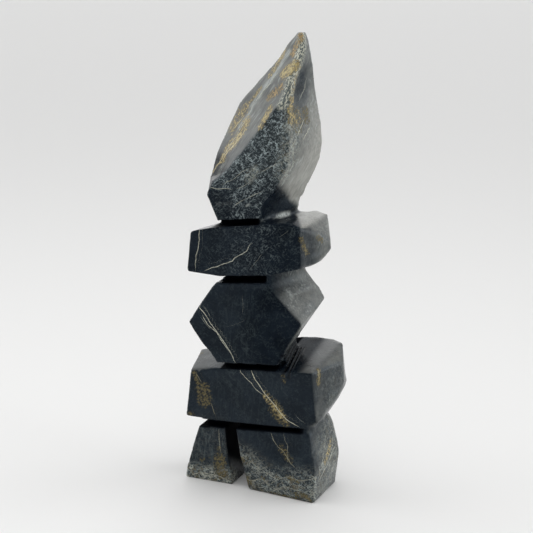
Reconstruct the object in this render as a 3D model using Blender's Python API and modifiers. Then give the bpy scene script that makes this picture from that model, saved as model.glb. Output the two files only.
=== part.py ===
"""Stone cairn, 300 mm tall: an inuksuk figure carved from a single block of dark stone.

The figure reads as five stones stacked on each other (two legs, hips, body, arms, head), but
it is one solid.  Four saw kerfs mark the stones off.  Each kerf runs in from the front, the
left and the back round a neck of stone, and stops short of the right side, where the ground
faces run on from one stone to the next.

Points are in millimetres: x to the figure's right-hand end, y to its back, z up.
"""

import bpy
import bmesh
import numpy as np
from mathutils import Vector

MM = 0.001

# ---------------------------------------------------------------- driving dimensions (mm)
HEIGHT = 300.0            # floor to the flat tip of the head
FRONT = -19.0             # plane of the ground front faces
BACK = 20.0               # plane of the back faces of the head, body and legs
KERF_DEPTH = 7.0          # how far a cut goes in from the front face
KERF_REACH = 80.0         # half size of the sheet that stands for the saw's sweep
SAW_TRIM = 0.3            # what a cut takes off the top of the stone below it
ROUND = 1.2               # rounding of the ground edges
HEAD_ROUND = 0.7          # the head's ridges are sharper
ROUND_SEGMENTS = 2
ROUND_ANGLE = 0.35        # radians: softer creases than this stay as they are
SMOOTH_ANGLE = 0.5        # radians: creases sharper than this are shaded sharp
MERGE = 0.00001           # metres

# Each kerf is a sheet of stone sawn away.  The middle of it lies at z0 + rise * x + pitch * y,
# and it is width - taper * x high.
KERF_HEAD = dict(z0=182.6, rise=0.125, pitch=-0.01, width=4.2, taper=0.0)
KERF_BODY = dict(z0=146.0, rise=0.105, pitch=0.03, width=4.7, taper=0.0)
KERF_HIPS = dict(z0=89.7, rise=0.082, pitch=0.165, width=4.0, taper=0.0)
KERF_LEGS = dict(z0=45.8, rise=0.068, pitch=0.04, width=4.2, taper=0.034)

STONE_COLOUR = (0.018, 0.021, 0.025, 1.0)
STONE_ROUGHNESS = 0.32


def kerf_face(kerf, x, y, side):
    """Height of a kerf at (x, y): its lower face for side -1, its upper face for side 1."""
    middle = kerf["z0"] + kerf["rise"] * x + kerf["pitch"] * y
    return middle + side * 0.5 * (kerf["width"] - kerf["taper"] * x)


def under_kerf(kerf, plan):
    """Plan points for the top of the stone below a kerf, which the saw trims by a hair."""
    return [(x, y, kerf_face(kerf, x, y, -1) + SAW_TRIM) for x, y in plan]

# ------------------------------------------------------------------ corners of the stones
LEFT_LEG = [
    # front face, from its top left round to its top right
    (-33.0, FRONT, 46.5), (-40.5, -18.0, 24.0), (-45.5, -16.5, 9.0), (-47.2, -15.6, 0.0),
    (-12.5, -15.4, 0.0), (-14.5, -17.5, 19.0), (-17.0, FRONT, 46.5),
    # back face
    (-31.0, 17.0, 46.5), (-44.5, 14.0, 0.0), (-11.5, 15.0, 0.0), (-15.5, 18.0, 46.5),
]

RIGHT_LEG = [
    (-9.0, FRONT, 47.5), (-5.5, FRONT, 24.0), (0.6, -18.1, 0.0),
    (47.2, -22.4, 0.0), (47.5, -21.0, 22.0), (43.5, -19.5, 36.0), (42.0, FRONT, 49.0),
    # the right side swells out at a third of its height
    (49.8, 15.3, 0.0), (53.0, 13.0, 23.0), (52.5, 12.0, 29.0), (48.5, 8.0, 51.0),
    (2.0, 17.0, 0.0), (-6.5, 18.0, 47.5), (44.0, 20.0, 0.0), (42.0, 21.0, 50.0),
]

HIPS_TOP = [(-24.0, FRONT), (45.0, FRONT), (51.0, 25.0), (43.0, 30.5), (30.0, 33.0),
            (16.0, 31.5), (-45.0, 8.0)]
HIPS = under_kerf(KERF_HIPS, HIPS_TOP) + [
    # front face: the left end of its top edge is worn down
    (-40.5, FRONT, 79.3), (-44.5, FRONT, 46.2), (-9.0, FRONT, 45.9), (16.0, FRONT, 47.0),
    (38.0, FRONT, 49.3), (49.0, FRONT, 52.5),
    # the right end bulges
    (56.5, 10.0, 88.0), (57.5, 11.0, 75.0), (55.0, 22.0, 72.0), (48.0, 9.0, 53.5),
    # back and left end
    (42.0, 28.0, 55.0), (14.0, 30.0, 50.0), (-34.0, 16.0, 46.5), (-46.5, 8.0, 47.5),
]

BODY = [
    # front face, a hexagon that runs a little past the kerfs above and below it
    (-40.4, FRONT, 113.0), (-12.5, FRONT, 149.0), (8.0, FRONT, 149.0), (38.3, FRONT, 119.0),
    (17.6, FRONT, 84.0), (-18.5, FRONT, 83.0),
    # back face
    (-37.0, BACK, 116.0), (-12.0, BACK, 149.0), (23.0, BACK, 149.0), (26.0, BACK, 146.0),
    (33.8, BACK, 137.3), (38.7, BACK, 127.6), (15.5, BACK, 90.0), (-16.0, BACK, 88.0),
]

# Stone left in the crease between the body's lower right face and the top of the hips.
BODY_FOOT = [
    (18.0, -12.0, 86.0), (26.5, -12.0, 87.2), (23.6, -12.0, 95.0),
    (15.0, 17.0, 90.5), (23.0, 17.0, 91.7), (20.6, 17.0, 99.0),
]

# The body's right side runs straight up into the arms, with no kerf between them.
BODY_NECK_PLAN = [(-8.0, FRONT), (15.0, FRONT), (27.0, 14.0), (24.0, BACK), (-8.0, BACK)]
BODY_NECK = [(x, y, z) for z in (138.0, 150.0) for x, y in BODY_NECK_PLAN]

ARMS_TOP = [(-20.0, FRONT), (26.0, FRONT), (31.0, 28.0), (12.0, 31.0), (-21.0, 16.0)]
ARMS = under_kerf(KERF_HEAD, ARMS_TOP) + [
    # front face: both ends of its top edge are worn down
    (-39.2, FRONT, 174.0), (-42.3, FRONT, 146.8), (-18.0, FRONT, 145.5),
    (15.0, FRONT, 149.0), (37.3, FRONT, 155.8), (36.3, FRONT, 182.0),
    # right end
    (39.5, 25.0, 183.0), (47.0, 9.0, 171.0), (47.7, 8.0, 164.0), (44.2, 3.0, 159.5),
    (37.0, 0.0, 155.2), (42.0, 22.0, 160.5), (30.0, 8.0, 151.5),
    # back and left end, ground away behind the front edge
    (22.0, 28.0, 152.0), (-38.0, 14.0, 148.0), (-43.0, 9.0, 160.0),
]

# A flare of polished stone carries the head's right side down onto the arms.
HEAD_FLARE = [
    (6.0, -16.0, 180.0), (13.0, -14.0, 182.5), (18.0, 0.0, 183.5), (21.0, 14.0, 184.5),
    (22.0, 23.0, 185.0), (0.0, 20.0, 180.0),
    (8.0, -14.0, 190.0), (12.0, -10.0, 190.0), (17.5, 0.0, 191.0), (20.0, 11.0, 191.0),
    (15.0, 17.0, 190.0), (0.0, 15.0, 190.0),
]

# --------------------------------------------------------- the head: six edges, bottom to top
HEAD_LEFT = [
    (-28.0, 6.0, 179.0), (-38.0, 7.0, 195.0), (-36.0, 7.0, 207.0), (-31.4, 6.0, 221.0),
    (-23.0, 5.0, 238.0), (-14.0, 4.0, 255.0), (-4.0, 3.0, 266.0), (11.0, 2.0, 280.0),
    (18.0, 2.0, 287.0), (23.0, 1.0, 295.0), (26.5, 1.0, HEIGHT),
]
HEAD_FRONT_LEFT = [
    (-18.3, FRONT, 179.0), (-27.0, FRONT, 199.0), (-23.0, FRONT, 206.0),
    (-13.0, FRONT, 214.0), (-1.3, -18.0, 229.0), (10.5, -17.0, 244.0), (19.3, -16.0, 255.0),
    (25.0, -15.0, 261.0), (26.0, -13.0, 274.0), (30.0, -8.0, 285.0), (29.8, -4.0, 294.0),
    (28.2, -2.4, HEIGHT),
]
HEAD_FRONT_RIGHT = [
    (8.0, FRONT, 179.0), (11.0, FRONT, 195.0), (21.0, FRONT, 207.0), (28.0, -18.5, 222.0),
    (28.5, -18.0, 232.0), (27.8, -17.0, 243.0), (27.6, -15.0, 261.0), (28.4, -13.0, 274.0),
    (32.3, -8.0, 285.0), (32.2, -4.0, 294.0), (30.8, -2.0, HEIGHT),
]
HEAD_RIGHT = [
    (13.0, 13.0, 179.0), (16.0, 13.0, 184.0), (22.5, 12.0, 190.0), (29.5, 11.0, 203.0),
    (36.0, 10.0, 215.0), (40.0, 10.0, 225.0), (40.5, 9.0, 235.0), (39.5, 9.0, 245.0),
    (37.0, 8.0, 258.0), (35.0, 7.0, 272.0), (33.5, 6.0, 281.0), (31.5, 3.0, HEIGHT),
]
HEAD_BACK_RIGHT = [
    (10.0, 19.0, 179.0), (20.0, BACK, 200.0), (30.0, BACK, 224.0), (31.0, 17.0, 245.0),
    (30.0, 12.0, 265.0), (30.0, 8.0, 285.0), (29.5, 4.5, HEIGHT),
]
HEAD_BACK_LEFT = [
    (-20.0, 18.0, 179.0), (-31.0, 17.0, 197.0), (-24.0, 19.0, 214.0), (-10.0, 18.0, 235.0),
    (4.0, 15.0, 255.0), (16.0, 10.0, 274.0), (23.0, 6.5, 290.0), (27.0, 4.0, HEIGHT),
]
HEAD_EDGES = [HEAD_LEFT, HEAD_FRONT_LEFT, HEAD_FRONT_RIGHT, HEAD_RIGHT, HEAD_BACK_RIGHT,
              HEAD_BACK_LEFT]
HEAD_LEVELS = [179.0, 187.0, 195.0, 199.0, 206.0, 214.0, 222.0, 232.0, 244.0, 255.0, 261.0,
               268.0, 274.0, 280.0, 285.0, 290.0, 295.0, HEIGHT]

# ----------------------------- the necks: what each kerf leaves, seen from above, front first
HEAD_NECK = [(11.0, FRONT - 1.0), (5.0, FRONT + KERF_DEPTH), (-20.0, FRONT + KERF_DEPTH),
             (-27.0, 3.0), (-20.0, 14.0), (4.0, 14.0), (8.0, 24.0)]
ARMS_NECK = [(15.5, FRONT - 1.0), (10.0, FRONT + KERF_DEPTH), (-17.0, FRONT + KERF_DEPTH),
             (-17.0, 14.0), (8.0, 14.0), (12.0, 23.0)]
HIPS_NECK = [(26.0, FRONT - 1.0), (19.0, FRONT + KERF_DEPTH), (-18.0, FRONT + KERF_DEPTH),
             (-16.0, 14.0), (8.0, 14.0), (12.0, 24.0)]
LEGS_NECK = [(40.0, FRONT - 2.0), (33.0, FRONT + KERF_DEPTH), (-31.0, FRONT + KERF_DEPTH),
             (-29.0, 11.0), (28.0, 13.0), (34.0, 24.0)]


# ------------------------------------------------------------------------------- functions
def clear_scene():
    for obj in list(bpy.data.objects):
        bpy.data.objects.remove(obj, do_unlink=True)


def new_collection(name):
    collection = bpy.data.collections.new(name)
    bpy.context.scene.collection.children.link(collection)
    return collection


def new_object(name, bm, collection, parent):
    """Turn a bmesh into an object under the parent, with its faces pointing out."""
    bmesh.ops.recalc_face_normals(bm, faces=bm.faces)
    mesh = bpy.data.meshes.new(name)
    bm.to_mesh(mesh)
    bm.free()
    obj = bpy.data.objects.new(name, mesh)
    collection.objects.link(obj)
    obj.parent = parent
    return obj


def as_guide(obj):
    """A stone or a cutter that only shapes the finished solid."""
    obj.hide_render = True
    obj.display_type = "WIRE"
    return obj


def round_edges(obj, width):
    bevel = obj.modifiers.new("ground_edges", "BEVEL")
    bevel.width = width * MM
    bevel.segments = ROUND_SEGMENTS
    bevel.limit_method = "ANGLE"
    bevel.angle_limit = ROUND_ANGLE
    bevel.use_clamp_overlap = True


def hull_stone(name, corners, collection, parent):
    """A faceted stone: the flat faces that close round its corner points."""
    bm = bmesh.new()
    for corner in corners:
        bm.verts.new(Vector(corner) * MM)
    hull = bmesh.ops.convex_hull(bm, input=bm.verts)
    bmesh.ops.delete(bm, geom=hull["geom_interior"], context="VERTS")
    stone = as_guide(new_object(name, bm, collection, parent))
    round_edges(stone, ROUND)
    return stone


def edge_at(edge, level):
    """The point where an edge line of the head crosses a level."""
    xs, ys, zs = zip(*edge)
    return Vector((np.interp(level, zs, xs), np.interp(level, zs, ys), level)) * MM


def loft_head(name, collection, parent):
    """The head: one ring of corners at each level, joined ring to ring."""
    bm = bmesh.new()
    rings = []
    for level in HEAD_LEVELS:
        rings.append([bm.verts.new(edge_at(edge, level)) for edge in HEAD_EDGES])
    count = len(HEAD_EDGES)
    for low, high in zip(rings, rings[1:]):
        for i in range(count):
            j = (i + 1) % count
            bm.faces.new((low[i], low[j], high[j], high[i]))
    bm.faces.new(list(reversed(rings[0])))
    bm.faces.new(rings[-1])
    head = new_object(name, bm, collection, parent)
    round_edges(head, HEAD_ROUND)
    return head


def kerf_cutter(name, kerf, neck, collection, parent):
    """The sheet of stone that one saw cut takes out round a neck, open to the right."""
    reach = KERF_REACH
    front_end = (neck[0][0] + 6.0, -reach)
    back_end = (neck[-1][0] + 6.0, reach)
    outline = [(-reach, -reach), front_end] + neck + [back_end, (-reach, reach)]
    curve = bpy.data.curves.new(name, "CURVE")
    curve.dimensions = "2D"
    curve.fill_mode = "BOTH"
    curve.extrude = 0.5 * kerf["width"] * MM
    spline = curve.splines.new("POLY")
    spline.points.add(len(outline) - 1)
    for point, (x, y) in zip(spline.points, outline):
        point.co = (x * MM, y * MM, 0.0, 1.0)
    spline.use_cyclic_u = True
    flat = bpy.data.objects.new(name, curve)
    collection.objects.link(flat)
    bpy.context.view_layer.update()
    shape = flat.evaluated_get(bpy.context.evaluated_depsgraph_get())
    mesh = bpy.data.meshes.new_from_object(shape)
    bpy.data.objects.remove(flat)
    bpy.data.curves.remove(curve)
    bm = bmesh.new()
    bm.from_mesh(mesh)
    bpy.data.meshes.remove(mesh)
    bmesh.ops.remove_doubles(bm, verts=bm.verts, dist=MERGE)
    for vert in bm.verts:
        side = 1 if vert.co.z > 0.0 else -1
        vert.co.z = kerf_face(kerf, vert.co.x / MM, vert.co.y / MM, side) * MM
    return as_guide(new_object(name, bm, collection, parent))


def combine(obj, tool, operation):
    boolean = obj.modifiers.new(tool.name, "BOOLEAN")
    boolean.operation = operation
    boolean.solver = "EXACT"
    boolean.object = tool


def stone_material():
    material = bpy.data.materials.new("dark_stone")
    material.use_nodes = True
    shader = material.node_tree.nodes["Principled BSDF"]
    shader.inputs["Base Color"].default_value = STONE_COLOUR
    shader.inputs["Roughness"].default_value = STONE_ROUGHNESS
    shader.inputs["Metallic"].default_value = 0.0
    return material


def stand_on_origin(root, stone):
    """Move the whole figure so that the bottom centre of its box is the origin."""
    bpy.context.view_layer.update()
    shape = stone.evaluated_get(bpy.context.evaluated_depsgraph_get())
    points = np.array([shape.matrix_world @ v.co for v in shape.data.vertices])
    low = points.min(axis=0)
    high = points.max(axis=0)
    root.location = (-0.5 * (low[0] + high[0]), -0.5 * (low[1] + high[1]), -low[2])
    bpy.context.view_layer.update()


def shade(stone):
    stone.data.materials.append(stone_material())
    stone.data.shade_smooth()
    stone.data.set_sharp_from_angle(angle=SMOOTH_ANGLE)


def build():
    clear_scene()
    figure = new_collection("stone_cairn")
    guides = new_collection("cutters")
    root = bpy.data.objects.new("cairn_origin", None)
    figure.objects.link(root)

    stone = loft_head("carved_stone", figure, root)
    stones = {
        "flare_of_head": HEAD_FLARE, "arms": ARMS, "neck_of_body": BODY_NECK, "body": BODY,
        "foot_of_body": BODY_FOOT, "hips": HIPS, "left_leg": LEFT_LEG, "right_leg": RIGHT_LEG,
    }
    for name, corners in stones.items():
        combine(stone, hull_stone(name, corners, guides, root), "UNION")
    kerfs = {
        "kerf_head": (KERF_HEAD, HEAD_NECK), "kerf_body": (KERF_BODY, ARMS_NECK),
        "kerf_hips": (KERF_HIPS, HIPS_NECK), "kerf_legs": (KERF_LEGS, LEGS_NECK),
    }
    for name, (kerf, neck) in kerfs.items():
        combine(stone, kerf_cutter(name, kerf, neck, guides, root), "DIFFERENCE")
    shade(stone)
    stand_on_origin(root, stone)
    return stone


build()
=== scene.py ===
import math

import bmesh
import bpy
import numpy as np
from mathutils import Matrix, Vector, noise
from mathutils.kdtree import KDTree


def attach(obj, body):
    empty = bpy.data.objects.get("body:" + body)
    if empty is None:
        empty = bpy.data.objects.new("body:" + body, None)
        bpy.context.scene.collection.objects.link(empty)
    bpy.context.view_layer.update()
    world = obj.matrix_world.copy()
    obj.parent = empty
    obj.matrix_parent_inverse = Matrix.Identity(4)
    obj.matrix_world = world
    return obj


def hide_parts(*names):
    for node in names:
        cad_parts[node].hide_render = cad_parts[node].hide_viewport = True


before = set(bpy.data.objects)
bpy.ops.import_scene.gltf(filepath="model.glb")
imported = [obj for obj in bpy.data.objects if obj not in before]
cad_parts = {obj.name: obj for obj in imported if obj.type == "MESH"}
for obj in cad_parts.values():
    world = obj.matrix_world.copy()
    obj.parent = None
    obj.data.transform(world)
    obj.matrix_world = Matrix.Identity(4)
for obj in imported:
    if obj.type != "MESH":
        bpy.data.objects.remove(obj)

# Looks of the stone cairn: one carved block of dark, partly polished stone.
#
# Points are in millimetres in the figure's own drawing axes, the ones its corners were laid out
# in: x to its right-hand end, y to its back, z up.  DRAWING_ORIGIN is where that zero lies in
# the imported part.

MM = 0.001
DRAWING_ORIGIN = np.array([-5.09, -5.29, 0.0])     # mm
NODE = "carved_stone"

# ------------------------------------------------------------------------ the fine surface
VOXEL = 1.1                 # mm, the grid of the remeshed surface
WELD = 0.01                 # mm
EDGE_SNAP = 0.55            # mm, vertices this near a sharp edge of the solid move onto it
EDGE_ANGLE = 0.45           # radians, what counts as a sharp edge
EDGE_STEP = 0.2             # mm between the points that stand for an edge
SLIVER = 0.05               # mm, vertices nearer than this after the snap are one
EDGE_KEEP = 0.9             # mm, smoothing stays this far from a sharp edge
FACET_ROUNDS = 8            # smoothing passes that soften the facets' meetings
SOFT_ROUNDS = 45            # extra passes where one ground face runs on into the next
UNDULATION = ((14.0, 0.16), (5.0, 0.05))    # lump size and height, mm, of hand-finished faces
PIT_SIZE = 1.1              # mm, stun marks of the rough face
PIT_DEPTH = 0.22            # mm
FOOT_FLAT = 0.4             # mm, below this the soles stay flat


def drawing(points_m):
    """Part coordinates in metres to the drawing's millimetres."""
    return points_m / MM - DRAWING_ORIGIN


def placed(point_mm):
    """A drawing point in millimetres as a part coordinate in metres."""
    return Vector((np.asarray(point_mm, float) + DRAWING_ORIGIN) * MM)


def positions(mesh):
    """The vertices' places in metres, one row each."""
    values = np.empty(len(mesh.vertices) * 3, np.float32)
    mesh.vertices.foreach_get("co", values)
    return values.reshape(-1, 3).astype(float)


def normals_of(mesh):
    """The vertices' normals, one row each."""
    values = np.empty(len(mesh.vertices) * 3, np.float32)
    mesh.vertex_normals.foreach_get("vector", values)
    return values.reshape(-1, 3).astype(float)


def set_positions(mesh, points_m):
    mesh.vertices.foreach_set("co", points_m.astype(np.float32).ravel())
    mesh.update()


def welded_copy(node, name):
    """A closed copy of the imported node's mesh as a new object."""
    bm = bmesh.new()
    bm.from_mesh(node.data)
    bmesh.ops.remove_doubles(bm, verts=bm.verts, dist=WELD * MM)
    mesh = bpy.data.meshes.new(name)
    bm.to_mesh(mesh)
    bm.free()
    piece = bpy.data.objects.new(name, mesh)
    bpy.context.scene.collection.objects.link(piece)
    return piece


def apply_modifiers(piece):
    bpy.context.view_layer.update()
    shape = piece.evaluated_get(bpy.context.evaluated_depsgraph_get())
    mesh = bpy.data.meshes.new_from_object(shape)
    piece.modifiers.clear()
    old = piece.data
    piece.data = mesh
    bpy.data.meshes.remove(old)


def sharp_edge_points(mesh):
    """Points along the solid's sharp edges, in metres."""
    bm = bmesh.new()
    bm.from_mesh(mesh)
    bm.normal_update()
    points = []
    for edge in bm.edges:
        if len(edge.link_faces) == 2 and edge.calc_face_angle(0.0) > EDGE_ANGLE:
            start, end = edge.verts[0].co, edge.verts[1].co
            steps = max(1, int((end - start).length / (EDGE_STEP * MM)))
            points += [start.lerp(end, i / steps) for i in range(steps + 1)]
    bm.free()
    return points


def tree_of(points):
    tree = KDTree(len(points))
    for i, point in enumerate(points):
        tree.insert(point, i)
    tree.balance()
    return tree


def snap_to_edges(mesh, tree):
    """Move the vertices beside a sharp edge onto it, so that the edge comes out crisp."""
    for vertex in mesh.vertices:
        near, _, distance = tree.find(vertex.co)
        if distance < EDGE_SNAP * MM:
            vertex.co = near


def remeshed_skin(node, name):
    """The solid's surface on an even grid, with its sharp edges kept."""
    skin = welded_copy(node, name)
    edges = tree_of(sharp_edge_points(skin.data))
    remesh = skin.modifiers.new("even_grid", "REMESH")
    remesh.mode = "VOXEL"
    remesh.voxel_size = VOXEL * MM
    wrap = skin.modifiers.new("onto_solid", "SHRINKWRAP")
    wrap.target = node
    wrap.wrap_method = "NEAREST_SURFACEPOINT"
    apply_modifiers(skin)
    snap_to_edges(skin.data, edges)
    bm = bmesh.new()
    bm.from_mesh(skin.data)
    bmesh.ops.remove_doubles(bm, verts=bm.verts, dist=SLIVER * MM)
    bm.to_mesh(skin.data)
    bm.free()
    return skin, edges


# --------------------------------------------------------------- masks over the drawing space
def smooth_step(value, low, high):
    """0 up to low, 1 from high on, with a smooth rise between."""
    t = np.clip((value - low) / (high - low), 0.0, 1.0)
    return t * t * (3.0 - 2.0 * t)


def window(value, low, high, soft):
    """1 between low and high, falling to 0 over soft millimetres outside them."""
    return smooth_step(value, low - soft, low) * (1.0 - smooth_step(value, high, high + soft))


def blob(points, centre, radii, soft=0.4):
    """1 inside an ellipsoid, 0 outside it, with a soft rim."""
    distance = np.linalg.norm((points - np.array(centre)) / np.array(radii), axis=1)
    return 1.0 - smooth_step(distance, 1.0 - soft, 1.0 + soft)


def noise_field(points, lump_mm, seed=0.0):
    """Smooth noise, about -1 to 1, with the given size of lump."""
    shift = Vector((seed * 3.7, -seed * 1.9, seed * 2.3))
    return np.array([noise.noise(Vector(p) / lump_mm + shift) for p in points])


# The rough dark face of the head lies between its two front ridges: (x, z) down each of them.
RIDGE_LEFT = ((-20, 183), (-28, 199), (-27.5, 206), (-16, 214), (-1.3, 229),
              (10.5, 244), (19.3, 255), (25, 261), (26, 274), (30, 285),
              (29, 300))
RIDGE_RIGHT = ((9, 186), (11, 195), (21, 207), (28, 222), (28.5, 232),
               (27.8, 243), (27.6, 261), (28.4, 274), (32.3, 285), (31, 300))


def ridge_x(ridge, z):
    """Where a ridge is at the given heights."""
    return np.interp(z, [point[1] for point in ridge], [point[0] for point in ridge])


def rough_face(points, normals):
    """Mask of the head's rough front face and of the narrow ridge that goes on to the tip."""
    x, z = points[:, 0], points[:, 2]
    ragged = 1.3 * noise_field(points, 5.0, 31.0) + 0.9 * noise_field(points, 1.9, 32.0)
    left = smooth_step(x - ridge_x(RIDGE_LEFT, z) + ragged, -0.9, 1.1)
    right = 1.0 - smooth_step(x - ridge_x(RIDGE_RIGHT, z) + 0.5 * ragged, -0.7, 0.5)
    shoulder = 0.45 * window(z, 200.0, 214.0, 3.0) * (x < -10.0)
    front = smooth_step(-normals[:, 1] + shoulder, 0.45, 0.8)
    return left * right * front * smooth_step(z, 182.0, 185.0)


# Saw kerfs: middle height at x = y = 0, rise along x, rise along y, height, taper along x, and
# the left and right ends of the shaded part.
KERFS = ((182.6, 0.125, -0.01, 4.2, 0, -28, 8),
         (146, 0.105, 0.03, 4.7, 0, -17, 13),
         (89.7, 0.082, 0.165, 4, 0, -18.5, 20),
         (45.8, 0.068, 0.04, 4.2, 0.034, -46, 39))


def kerf_mask(points):
    """1 on the walls of the saw kerfs, which are painted black as the shade inside them."""
    x, y, z = points.T
    mask = np.zeros(len(points))
    for middle, rise, pitch, height, taper, left, right in KERFS:
        off = np.abs(z - (middle + rise * x + pitch * y))
        half = (height - taper * x) / 2
        inside = 1.0 - smooth_step(off, half - 0.1, half + 0.5)
        mask = np.maximum(mask, inside * window(x, left, right, 1.5))
    return mask


def soft_mask(points, normals):
    """1 where one ground face runs on into the next: right of the two upper kerfs."""
    x, y, z = points.T
    upward = smooth_step(normals[:, 2], -0.6, -0.3)
    body_top = window(x, 14.0, 34.0, 3.0) * window(z, 138.0, 149.0, 3.0) * upward
    head_foot = window(x, 9.0, 26.0, 3.0) * window(z, 182.0, 194.0, 3.0)
    inner = smooth_step(y, -18.5, -15.0)
    leg_top = smooth_step(x, 40.5, 42.5) * window(z, 46.5, 54.0, 1.5)
    return np.maximum(np.maximum(body_top, head_foot) * inner, leg_top)


# The crease between the body and the right of the hips was worked with a burr that ran from
# front to back: flutes round a line through FLUTE_AT along FLUTE_ALONG.
FLUTE_AT = (30.0, -12.0, 92.5)
FLUTE_ALONG = (-0.12, 1.0, 0.155)
FLUTES = 12                 # to a full turn
FLUTE_DEPTH = 0.45          # mm
FLUTE_REACH = 10.5          # mm from the line


def flute_field(points):
    """Height of the flutes and the mask of where they are."""
    x, y, z = points.T
    step = y - FLUTE_AT[1]
    across = x - FLUTE_AT[0] - FLUTE_ALONG[0] * step
    above = z - FLUTE_AT[2] - FLUTE_ALONG[2] * step
    reach = np.hypot(across, above)
    turn = np.arctan2(above, across)
    mask = 1.0 - smooth_step(reach, FLUTE_REACH * 0.75, FLUTE_REACH)
    mask *= window(y, -18.0, 14.0, 3.0)
    left = 1.0 - smooth_step(across, -1.5, 2.5)
    return np.cos(FLUTES * turn + 0.05 * y), mask * left


def slot_mask(points, normals):
    """The slot between the legs, painted black as shade inside, down to where the light reaches
    under it.
    """
    x, y, z = points.T
    inside = window(x, -19.0, 3.0, 1.0) * smooth_step(y, -18.6, -17.0)
    facing = smooth_step(np.abs(normals[:, 0]), 0.3, 0.6)
    return inside * facing * smooth_step(z + 0.6 * (y + 19.0), 14.0, 26.0) * (z < 52.0)


# ----------------------------------------------------------------------- shaping the surface
def relax(mesh, weight, rounds):
    """Laplacian smoothing, each vertex by its own weight."""
    edges = np.empty(len(mesh.edges) * 2, np.int32)
    mesh.edges.foreach_get("vertices", edges)
    a, b = edges.reshape(-1, 2).T
    count = len(mesh.vertices)
    degree = np.maximum(np.bincount(a, minlength=count) + np.bincount(b, minlength=count), 1)
    points = positions(mesh)
    for _ in range(rounds):
        for axis in range(3):
            value = points[:, axis]
            total = (np.bincount(a, weights=value[b], minlength=count)
                     + np.bincount(b, weights=value[a], minlength=count))
            points[:, axis] = value + 0.5 * weight * (total / degree - value)
    set_positions(mesh, points)


def edge_distance(mesh, tree):
    """Distance in millimetres from each vertex to the nearest sharp edge of the solid."""
    return np.array([tree.find(vertex.co)[2] for vertex in mesh.vertices]) / MM


def refine(mesh, chosen):
    """Split the faces whose corners are all chosen into four."""
    bm = bmesh.new()
    bm.from_mesh(mesh)
    bm.verts.ensure_lookup_table()
    edges = {edge for face in bm.faces if all(chosen[v.index] for v in face.verts)
             for edge in face.edges}
    bmesh.ops.subdivide_edges(bm, edges=list(edges), cuts=1, use_grid_fill=True)
    bm.to_mesh(mesh)
    bm.free()
    mesh.update()


# Where the stone stands out sideways beyond its plain solid.  Each has its side (1 right,
# -1 left), the x and the y at which it starts and is full, then height and amount, all in mm.
ALL_DEPTHS = (-60.0, -50.0)
SWELLS = (
    # body, right and left
    (1, (16, 29), (-12, 10),
     ((100, 0), (116, 0.7), (128, 1.5), (133, 1.2), (135, 0.9), (137, 1.8), (139, 2.2), (142, 2.4),
      (150, 1.6), (158, 0))),
    (-1, (-8, -22), ALL_DEPTHS,
     ((94, 0), (98, 1.6), (107, 1.8), (115.5, 1.2), (120, 1.9), (128, 2.8), (136, 3.4), (143, 3.8),
      (147, 0))),
    # arms, hips and legs, right
    (1, (22, 31), (-16, -4),
     ((150.5, 0), (153, 0.8), (155, 2.6), (157, 2.8), (159, 1.4), (164, 0))),
    (1, (32, 42), (-12, 4), ((53, 0), (58, 0.7), (63, 1.5), (69, 1.5), (72, 0.6), (76, 0))),
    (1, (34, 44), ALL_DEPTHS, ((0, 1.2), (49, 1.2), (53, 0))),
    # the head's foot, right
    (1, (10, 19), (-8, 10),
     ((184.8, 0), (186.8, 1), (188.2, 2.3), (190, 2.8), (194, 1.6), (196, 0.5), (202, 0.5),
      (206, 0.2), (222, 0))),
    # the head's tip, left and right
    (-1, (27, 21), ALL_DEPTHS,
     ((268, 0), (275, 0.5), (281, 1.3), (286, 1.8), (292, 1.9), (296, 1.3), (300, 0.4))),
    (1, (28, 32), ALL_DEPTHS,
     ((266, 0), (274, 0.5), (281, 1.3), (292, 1.2), (296, 0.5), (300, -0.6))),
)


def swell(mesh):
    """Move the skin sideways where the stone stands out beyond its plain solid."""
    points_m = positions(mesh)
    x, y, z = drawing(points_m).T
    for side, across, deep, profile in SWELLS:
        amount = np.interp(z, *np.array(profile).T)
        points_m[:, 0] += (side * MM) * amount * smooth_step(x, *across) * smooth_step(y, *deep)
    set_positions(mesh, points_m)


def undulate(mesh):
    """The slow waves and the pits of a surface finished by hand."""
    points_m = positions(mesh)
    normals = normals_of(mesh)
    points = drawing(points_m)
    height = sum(size * noise_field(points, lump, lump) for lump, size in UNDULATION)
    rough = rough_face(points, normals)
    picked = rough > 0.02
    pits = np.zeros(len(points))
    pits[picked] = (noise_field(points[picked], PIT_SIZE, 3.0)
                    + 1.6 * noise_field(points[picked], 3.0 * PIT_SIZE, 5.0))
    height += PIT_DEPTH * pits * rough
    flutes, worked = flute_field(points)
    height += FLUTE_DEPTH * flutes * worked
    height *= smooth_step(points[:, 2], FOOT_FLAT, 3.0)
    points_m += normals * (height * MM)[:, None]
    points_m[:, 2] = np.maximum(points_m[:, 2], 0.0)
    set_positions(mesh, points_m)


def finish_skin(skin, edges):
    """Soften the arrises, swell, then refine and roughen what the hand has worked."""
    mesh = skin.data
    points = drawing(positions(mesh))
    rim = smooth_step(edge_distance(mesh, edges), EDGE_KEEP * 0.5, EDGE_KEEP * 2.0)
    sole = smooth_step(points[:, 2], FOOT_FLAT, 2.0)
    relax(mesh, rim * sole, FACET_ROUNDS)
    relax(mesh, soft_mask(points, normals_of(mesh)), SOFT_ROUNDS)
    swell(mesh)
    refine(mesh, rough_face(points, normals_of(mesh)) > 0.3)
    for _ in range(2):
        refine(mesh, flute_field(drawing(positions(mesh)))[1] > 0.05)
    undulate(mesh)
    mesh.shade_smooth()


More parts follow.
